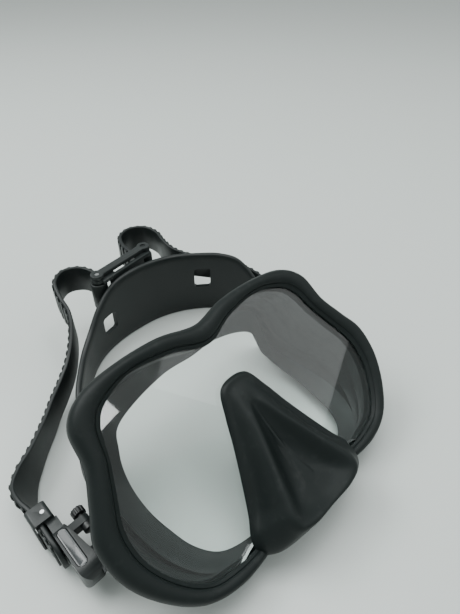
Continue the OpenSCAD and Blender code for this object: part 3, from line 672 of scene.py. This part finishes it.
def rib_tree():
    """Moulded ribs set across a band at its marked points."""
    name = "Strap ribs"
    tree = bpy.data.node_groups.new(name, "GeometryNodeTree")
    iface = tree.interface
    iface.new_socket(name="Geometry", in_out="INPUT", socket_type="NodeSocketGeometry")
    for label, value in (("Rib Width", 0.0024), ("Rib Height", 0.0011), ("Rib Length", 0.018)):
        s = iface.new_socket(name=label, in_out="INPUT", socket_type="NodeSocketFloat")
        s.default_value = value
        s.subtype = "DISTANCE"
    iface.new_socket(name="Material", in_out="INPUT", socket_type="NodeSocketMaterial")
    iface.new_socket(name="Geometry", in_out="OUTPUT", socket_type="NodeSocketGeometry")
    n, l = tree.nodes, tree.links
    start, end = n.new("NodeGroupInput"), n.new("NodeGroupOutput")

    def attribute(label, kind):
        node = n.new("GeometryNodeInputNamedAttribute")
        node.data_type = kind
        node.inputs["Name"].default_value = label
        return node.outputs["Attribute"]

    split = n.new("GeometryNodeSeparateGeometry")
    split.domain = "POINT"
    l.new(start.outputs["Geometry"], split.inputs["Geometry"])
    l.new(attribute("rib_seat", "BOOLEAN"), split.inputs["Selection"])
    size = n.new("ShaderNodeCombineXYZ")
    l.new(start.outputs["Rib Width"], size.inputs["X"])
    l.new(start.outputs["Rib Height"], size.inputs["Y"])
    l.new(start.outputs["Rib Length"], size.inputs["Z"])
    block = n.new("GeometryNodeMeshCube")
    l.new(size.outputs["Vector"], block.inputs["Size"])
    rounded = n.new("GeometryNodeSubdivisionSurface")
    rounded.inputs["Level"].default_value = 2
    rounded.inputs["Edge Crease"].default_value = 0.78
    l.new(block.outputs["Mesh"], rounded.inputs["Mesh"])
    turn = n.new("FunctionNodeAxesToRotation")
    turn.primary_axis = "Z"
    turn.secondary_axis = "X"
    l.new(attribute("rib_up", "FLOAT_VECTOR"), turn.inputs["Primary Axis"])
    l.new(attribute("rib_along", "FLOAT_VECTOR"), turn.inputs["Secondary Axis"])
    put = n.new("GeometryNodeInstanceOnPoints")
    l.new(split.outputs["Selection"], put.inputs["Points"])
    l.new(rounded.outputs["Mesh"], put.inputs["Instance"])
    l.new(turn.outputs["Rotation"], put.inputs["Rotation"])
    join = n.new("GeometryNodeJoinGeometry")
    l.new(put.outputs["Instances"], join.inputs["Geometry"])
    l.new(split.outputs["Inverted"], join.inputs["Geometry"])
    real = n.new("GeometryNodeRealizeInstances")
    l.new(join.outputs["Geometry"], real.inputs["Geometry"])
    paint = n.new("GeometryNodeSetMaterial")
    l.new(real.outputs["Geometry"], paint.inputs["Geometry"])
    l.new(start.outputs["Material"], paint.inputs["Material"])
    l.new(paint.outputs["Geometry"], end.inputs["Geometry"])
    return tree


def run_tree(obj, tree, values):
    """Evaluate a node tree on an object and keep the result as its plain mesh."""
    mod = obj.modifiers.new("Ribs", "NODES")
    mod.node_group = tree
    for item in tree.interface.items_tree:
        if item.item_type == "SOCKET" and item.in_out == "INPUT" and item.name in values:
            mod[item.identifier] = values[item.name]
    bpy.context.view_layer.update()
    dg = bpy.context.evaluated_depsgraph_get()
    mesh = bpy.data.meshes.new_from_object(obj.evaluated_get(dg))
    obj.modifiers.remove(mod)
    obj.data = mesh


def build_strap(side, sizes, look, tree):
    name = "ribbed_band_left" if side < 0 else "ribbed_band_right"
    node = "strap_left" if side < 0 else "strap_right"
    line = strap_line(LEFT_ROUTE if side < 0 else RIGHT_ROUTE, side, 10)
    out = 1 if side < 0 else -1
    along, up, face = strap_axes(line, out)
    half_w, half_t = STRAP_HALF_WIDTH, STRAP_HALF_THICKNESS
    from_tip = np.linalg.norm(line[:, :2] - line[0, :2], axis=1)
    share = np.minimum(1, (from_tip + 0.2) / half_w)
    half_widths = half_w * np.sqrt(np.maximum(1e-4, 1 - (1 - share) ** 2))
    corner = 0.7
    section = []
    for cx, cy, a0 in ((1, 1, 0), (-1, 1, 90), (-1, -1, 180), (1, -1, 270)):
        for k in range(4):
            a = math.radians(a0 + 30 * k)
            section.append((cx, cy, corner * math.cos(a), corner * math.sin(a)))
    rings = []
    for i in range(len(line)):
        c = line[i, :3]
        rings.append(np.array([
            c + up[i] * (cx * max(half_widths[i] - corner, 0.05) + px)
            + face[i] * (cy * (half_t - corner) + py) for cx, cy, px, py in section]))
    mesh = skin_rings(name, [on_table(r) for r in rings], False, 50)
    length = np.concatenate([[0], np.cumsum(np.linalg.norm(np.diff(line[:, :3], axis=0), axis=1))])
    pitch = sizes.rib_pitch * 1000
    last = length[int(len(line) * RIBBED_SHARE)] + 8
    seats = np.arange(half_w * 0.75, last, pitch)
    points, ups, alongs = [], [], []
    for s in seats:
        c = np.array([np.interp(s, length, line[:, k]) for k in range(3)])
        u = np.array([np.interp(s, length, up[:, k]) for k in range(3)])
        g = np.array([np.interp(s, length, along[:, k]) for k in range(3)])
        q = np.array([np.interp(s, length, face[:, k]) for k in range(3)])
        points.append(c + q * (half_t + sizes.rib_height * 1000 / 2 - 0.1))
        ups.append(u)
        alongs.append(g)
    band = len(mesh.vertices)
    mesh.vertices.add(len(points))
    co = np.zeros(len(mesh.vertices) * 3)
    mesh.vertices.foreach_get("co", co)
    co = co.reshape(-1, 3)
    co[band:] = on_table(points)
    mesh.vertices.foreach_set("co", co.ravel())
    seat = mesh.attributes.new("rib_seat", "BOOLEAN", "POINT")
    seat.data.foreach_set("value", [i >= band for i in range(len(co))])
    for label, values in (("rib_up", ups), ("rib_along", alongs)):
        full = np.zeros((len(co), 3))
        full[band:] = values
        mesh.attributes.new(label, "FLOAT_VECTOR", "POINT").data.foreach_set(
            "vector", full.ravel())
    mesh.update()
    obj = add_object(name, mesh)
    material = strap_silicone(look)
    run_tree(obj, tree, {"Rib Width": pitch * 0.7 / 1000, "Rib Height": sizes.rib_height + 0.0002,
                         "Rib Length": 0.0172, "Material": material})
    bm = bmesh.new()
    bm.from_mesh(obj.data)
    bmesh.ops.recalc_face_normals(bm, faces=bm.faces)
    bm.to_mesh(obj.data)
    bm.free()
    shade(obj.data, 50)
    for label in ("rib_seat", "rib_up", "rib_along"):
        found = obj.data.attributes.get(label)
        if found:
            obj.data.attributes.remove(found)
    place(obj, "strap", [node], material)


# ---------------------------------------------------------------- rear pad
def build_pad(look):
    line = path_spline(PAD_ROUTE, 12)
    t = np.gradient(line[:, :2], axis=0)
    t /= np.linalg.norm(t, axis=1)[:, None]
    n = np.column_stack([-t[:, 1], t[:, 0], np.zeros(len(t))])
    count = len(line)
    run = np.concatenate([[0], np.cumsum(np.linalg.norm(np.diff(line[:, :2], axis=0), axis=1))])
    rings = []
    for i in range(count):
        foot = np.array([line[i, 0], line[i, 1], 0.0])
        top = line[i, 2]
        edge = min(run[i], run[-1] - run[i])
        taper = min(1.0, 0.35 + edge / 9)
        a = 1.5 * taper
        pts = [(-a, 1.2), (-a, 5), (-a * 0.96, top * 0.3), (-a * 0.92, top * 0.55),
               (-a * 0.96, top * 0.75), (-a, top - 5), (-a * 1.0, top - 1.7),
               (-a * 0.75, top - 0.7), (-a * 0.3, top - 0.15), (a * 0.3, top),
               (a * 0.85, top - 0.25), (a * 1.25, top - 0.9), (a * 1.35, top - 1.9),
               (a * 1.33, top - 3.0), (a * 1.15, top - 4.2), (a, top - 5.4),
               (a, top * 0.75), (a * 0.94, top * 0.5), (a * 0.96, top * 0.25), (a, 4),
               (a, 1.2), (a * 0.7, 0.4), (0, 0.05), (-a * 0.7, 0.4)]
        rings.append(np.array([foot + n[i] * x + np.array([0, 0, z]) for x, z in pts]))
    mesh = skin_rings("rear_pad", [on_table(r) for r in rings], False, 60)
    pad = add_object("rear_pad", mesh)
    cutters = []
    for k, (x, y, z, turn, tall) in enumerate(PAD_SLOTS):
        bm = bmesh.new()
        bmesh.ops.create_cube(bm, size=1.0)
        bmesh.ops.scale(bm, vec=(11, 12, tall), verts=bm.verts)
        upright = [e for e in bm.edges if abs((e.verts[0].co - e.verts[1].co).y) > 5]
        bmesh.ops.bevel(bm, geom=upright, offset=2.0, segments=4, profile=0.5, affect="EDGES")
        bmesh.ops.rotate(bm, cent=(0, 0, 0), matrix=Matrix.Rotation(math.radians(turn), 3, "Z"),
                         verts=bm.verts)
        bmesh.ops.translate(bm, vec=(x, y, z + tall / 2), verts=bm.verts)
        for v in bm.verts:
            v.co = Vector(on_table([v.co])[0])
        bmesh.ops.recalc_face_normals(bm, faces=bm.faces)
        tool_mesh = bpy.data.meshes.new("slot_tool")
        bm.to_mesh(tool_mesh)
        bm.free()
        tool = add_object("slot_tool_%d" % k, tool_mesh)
        mod = pad.modifiers.new("Slot", "BOOLEAN")
        mod.operation = "DIFFERENCE"
        mod.solver = "EXACT"
        mod.object = tool
        cutters.append(tool)
    bpy.context.view_layer.update()
    dg = bpy.context.evaluated_depsgraph_get()
    cut = bpy.data.meshes.new_from_object(pad.evaluated_get(dg))
    pad.modifiers.clear()
    pad.data = cut
    for tool in cutters:
        bpy.data.objects.remove(tool)
    shade(cut, 50)
    place(pad, "strap", ["head_pad"], strap_silicone(look))


# ---------------------------------------------------------------- hardware
def build_springs():
    for side, label in ((-1, "left"), (1, "right")):
        for up, level in ((1, "upper"), (-1, "lower")):
            z0 = SWING_Z + WEB / 2 + 0.05 if up > 0 else SWING_Z - WEB / 2 - PRESS - 0.35
            wire, r, turns, tall = 0.24, 1.5, 2, PRESS + 0.3
            rings = []
            for i in range(turns * 24 + 1):
                a = 2 * math.pi * i / 24
                z = z0 + wire + (tall - 2 * wire) * i / (turns * 24)
                ring = []
                for k in range(10):
                    b = 2 * math.pi * k / 10
                    rr = r + wire * math.cos(b)
                    ring.append((side * BUTTON[0] + rr * math.cos(a),
                                 BUTTON[1] + rr * math.sin(a), z + wire * math.sin(b)))
                rings.append(on_table(ring))
            name = "coil_%s_%s" % (level, label)
            obj = add_object(name, skin_rings(name, rings, False, 60))
            place(obj, "strap", ["spring_%s_%s" % (level, label)], pin_steel())
            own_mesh(obj)


def build_hardware(look):
    plastic = buckle_plastic(look)
    for label in ("left", "right"):
        parts = [("buckle_frame_" + label, "strap", "dark_plastic", plastic, 0.7, 3),
                 ("strap_keeper_" + label, "strap", "dark_plastic", plastic, 0.35, 2),
                 ("latch_" + label, "latch_" + label, "dark_plastic", black_plastic(), 0.15, 1),
                 ("lug_" + label, "mask", "silicone", silicone(look), 0.6, 2)]
        for level in ("upper", "lower"):
            node = "button_%s_%s" % (level, label)
            parts.append((node, node, "gloss_grey", button_plastic(), 0.3, 2))
        for node, body, slot, material, width, segments in parts:
            obj = softened(node, node + "_soft", width, segments)
            place(obj, body, [node], material)
    for node, body in (("clip_base", "strap"), ("clip_lever", "clip_lever")):
        obj = softened(node, node + "_soft", 0.4, 2)
        place(obj, body, [node], plastic)


def paint(node, material):
    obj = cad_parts[node]
    if not obj.material_slots:
        obj.data.materials.append(material)
    for s in obj.material_slots:
        s.link = "OBJECT"
        s.material = material
    shade(obj.data, 35)


def paint_frame(look):
    paint("lens", glass_finish())
    paint("lens_subframe", black_plastic())
    for label in ("left", "right"):
        paint("pivot_pin_" + label, pin_steel())
        paint("pivot_washer_" + label, washer_nylon())
        paint("roller_axle_" + label, pin_steel())
        paint("strap_roller_" + label, washer_nylon())
        paint("loop_pin_" + label, pin_steel())
        paint("loop_roller_" + label, buckle_plastic(look))
    paint("clip_rivets", pin_steel())


# ---------------------------------------------------------------- stage
def build_stage(sizes):
    scene = bpy.context.scene
    bm = bmesh.new()
    bmesh.ops.create_circle(bm, cap_ends=True, segments=96, radius=6.0)
    mesh = bpy.data.meshes.new("stage_floor")
    bm.to_mesh(mesh)
    bm.free()
    floor = add_object("stage_floor", mesh)
    mat = bpy.data.materials.new("stage_pale")
    mat.use_nodes = True
    bsdf = mat.node_tree.nodes["Principled BSDF"]
    bsdf.inputs["Base Color"].default_value = (0.7, 0.74, 0.72, 1)
    bsdf.inputs["Roughness"].default_value = 0.3
    bsdf.inputs["Specular IOR Level"].default_value = 0.35
    mesh.materials.append(mat)
    world = bpy.data.worlds.new("studio")
    world.use_nodes = True
    back = world.node_tree.nodes["Background"]
    back.inputs["Color"].default_value = (0.86, 0.92, 0.9, 1)
    back.inputs["Strength"].default_value = 0.6
    scene.world = world
    for name, spot, aim, size, power in (
            ("key_light", (-0.45, 0.75, 1.1), (0, 0, 0.02), 0.9, 11),
            ("fill_light", (0.9, -0.6, 0.9), (0, 0, 0.02), 1.0, 2),
            ("window_light", (0.2, -0.83, 1.08), (-0.058, -0.038, 0.062), 0.16, 0.55),
            ("top_light", (0.1, 0.1, 1.4), (0, 0, 0), 1.2, 12)):
        data = bpy.data.lights.new(name, "AREA")
        data.shape = "RECTANGLE"
        data.size, data.size_y = size, size * 0.6
        data.energy = power
        data.color = (0.97, 1.0, 0.99)
        lamp = bpy.data.objects.new(name, data)
        scene.collection.objects.link(lamp)
        lamp.location = spot
        lamp.rotation_mode = "QUATERNION"
        lamp.rotation_quaternion = (Vector(aim) - Vector(spot)).to_track_quat("-Z", "Y")
    data = bpy.data.cameras.new("camera")
    data.sensor_fit = "HORIZONTAL"
    data.sensor_width = 36
    data.lens = sizes.camera_lens
    cam = bpy.data.objects.new("camera", data)
    scene.collection.objects.link(cam)
    right = Vector((0.708, -0.707, 0.004)).normalized()
    back_axis = Vector((-0.545, -0.542, 0.64))
    back_axis = (back_axis - right * back_axis.dot(right)).normalized()
    up = back_axis.cross(right)
    m = Matrix((right, up, back_axis)).transposed().to_4x4()
    m.translation = Vector(on_table([(-100.9, -123.1, 214.5)])[0])
    cam.matrix_world = m
    data.clip_start, data.clip_end = 0.01, 50
    scene.camera = cam


# ---------------------------------------------------------------- add-on
class DiveMaskSizes(bpy.types.PropertyGroup):
    outline_steps: IntProperty(name="Outline steps", default=12, min=4, max=24,
                               description="Mesh steps in each span of the mask's outlines")
    groove_depth: FloatProperty(name="Groove depth", default=0.0004, min=0, unit="LENGTH",
                                description="Depth of the fine grooves in the bezel")
    fold_depth: FloatProperty(name="Fold depth", default=0.0005, min=0, unit="LENGTH",
                              description="Swell of the soft folds in the skirt's wall")
    rib_pitch: FloatProperty(name="Rib pitch", default=0.0046, min=0.002, unit="LENGTH",
                             description="Distance from one strap rib to the next")
    rib_height: FloatProperty(name="Rib height", default=0.0009, min=0.0002, unit="LENGTH",
                              description="How far a strap rib stands out")
    camera_lens: FloatProperty(name="Camera lens", default=36.0, min=10,
                               description="Focal length of the camera in millimetres")


class DiveMaskLook(bpy.types.PropertyGroup):
    silicone_colour: FloatVectorProperty(name="Skirt colour", subtype="COLOR", size=3,
                                         default=(0.0055, 0.009, 0.0088), min=0, max=1,
                                         description="Colour of the skirt and nose pocket")
    strap_colour: FloatVectorProperty(name="Strap colour", subtype="COLOR", size=3,
                                      default=(0.007, 0.0105, 0.0104), min=0, max=1,
                                      description="Colour of the ribbed strap and rear pad")
    buckle_colour: FloatVectorProperty(name="Buckle colour", subtype="COLOR", size=3,
                                       default=(0.014, 0.018, 0.018), min=0, max=1,
                                       description="Colour of the buckles and clip")


class DIVEMASK_OT_skirt(bpy.types.Operator):
    """Build the soft skirt with its rolled bezel"""
    bl_idname = "divemask.skirt"
    bl_label = "Build Skirt"

    def execute(self, context):
        build_skirt(context.scene.divemask_sizes, context.scene.divemask_look)
        return {"FINISHED"}


class DIVEMASK_OT_inner_lip(bpy.types.Operator):
    """Build the second feather edge inside the skirt"""
    bl_idname = "divemask.inner_lip"
    bl_label = "Build Inner Lip"

    def execute(self, context):
        build_inner_lip(context.scene.divemask_sizes, context.scene.divemask_look)
        return {"FINISHED"}


class DIVEMASK_OT_nose_cover(bpy.types.Operator):
    """Build the moulded nose pocket"""
    bl_idname = "divemask.nose_cover"
    bl_label = "Build Nose Pocket"

    def execute(self, context):
        build_nose_cover(context.scene.divemask_sizes, context.scene.divemask_look)
        return {"FINISHED"}


class DIVEMASK_OT_straps(bpy.types.Operator):
    """Build both ribbed straps with their moulded ribs"""
    bl_idname = "divemask.straps"
    bl_label = "Build Straps"

    def execute(self, context):
        tree = rib_tree()
        for side in (-1, 1):
            build_strap(side, context.scene.divemask_sizes, context.scene.divemask_look, tree)
        return {"FINISHED"}


class DIVEMASK_OT_rear_pad(bpy.types.Operator):
    """Build the wide rear pad with its rolled top edge and slots"""
    bl_idname = "divemask.rear_pad"
    bl_label = "Build Rear Pad"

    def execute(self, context):
        build_pad(context.scene.divemask_look)
        return {"FINISHED"}


class DIVEMASK_OT_springs(bpy.types.Operator):
    """Build the coil springs under the release buttons"""
    bl_idname = "divemask.springs"
    bl_label = "Build Springs"

    def execute(self, context):
        build_springs()
        return {"FINISHED"}


class DIVEMASK_OT_hardware(bpy.types.Operator):
    """Ease the edges of the buckles, buttons, latches and clip, and finish every hard part"""
    bl_idname = "divemask.hardware"
    bl_label = "Build Hardware"

    def execute(self, context):
        build_hardware(context.scene.divemask_look)
        paint_frame(context.scene.divemask_look)
        return {"FINISHED"}


class DIVEMASK_OT_stage(bpy.types.Operator):
    """Set the floor, the lights and the camera"""
    bl_idname = "divemask.stage"
    bl_label = "Set Stage"

    def execute(self, context):
        build_stage(context.scene.divemask_sizes)
        return {"FINISHED"}


OPERATORS = (DIVEMASK_OT_skirt, DIVEMASK_OT_inner_lip, DIVEMASK_OT_nose_cover,
             DIVEMASK_OT_straps, DIVEMASK_OT_rear_pad, DIVEMASK_OT_springs,
             DIVEMASK_OT_hardware, DIVEMASK_OT_stage)


class DIVEMASK_PT_panel(bpy.types.Panel):
    """Lists the steps that build the mask"""
    bl_idname = "DIVEMASK_PT_panel"
    bl_label = "Diving Mask"
    bl_space_type = "VIEW_3D"
    bl_region_type = "UI"
    bl_category = "Diving Mask"

    def draw(self, context):
        layout = self.layout
        for group in (context.scene.divemask_sizes, context.scene.divemask_look):
            for name in group.__annotations__:
                layout.prop(group, name)
        for operator in OPERATORS:
            layout.operator(operator.bl_idname)


CLASSES = (DiveMaskSizes, DiveMaskLook) + OPERATORS + (DIVEMASK_PT_panel,)


def register():
    for cls in CLASSES:
        bpy.utils.register_class(cls)
    bpy.types.Scene.divemask_sizes = PointerProperty(type=DiveMaskSizes)
    bpy.types.Scene.divemask_look = PointerProperty(type=DiveMaskLook)


def unregister():
    del bpy.types.Scene.divemask_look
    del bpy.types.Scene.divemask_sizes
    for cls in reversed(CLASSES):
        bpy.utils.unregister_class(cls)


def main():
    register()
    steps = bpy.ops.divemask
    steps.skirt()
    steps.inner_lip()
    steps.nose_cover()
    steps.straps()
    steps.rear_pad()
    steps.springs()
    steps.hardware()
    steps.stage()
    bpy.context.view_layer.update()


if __name__ == "__main__":
    main()
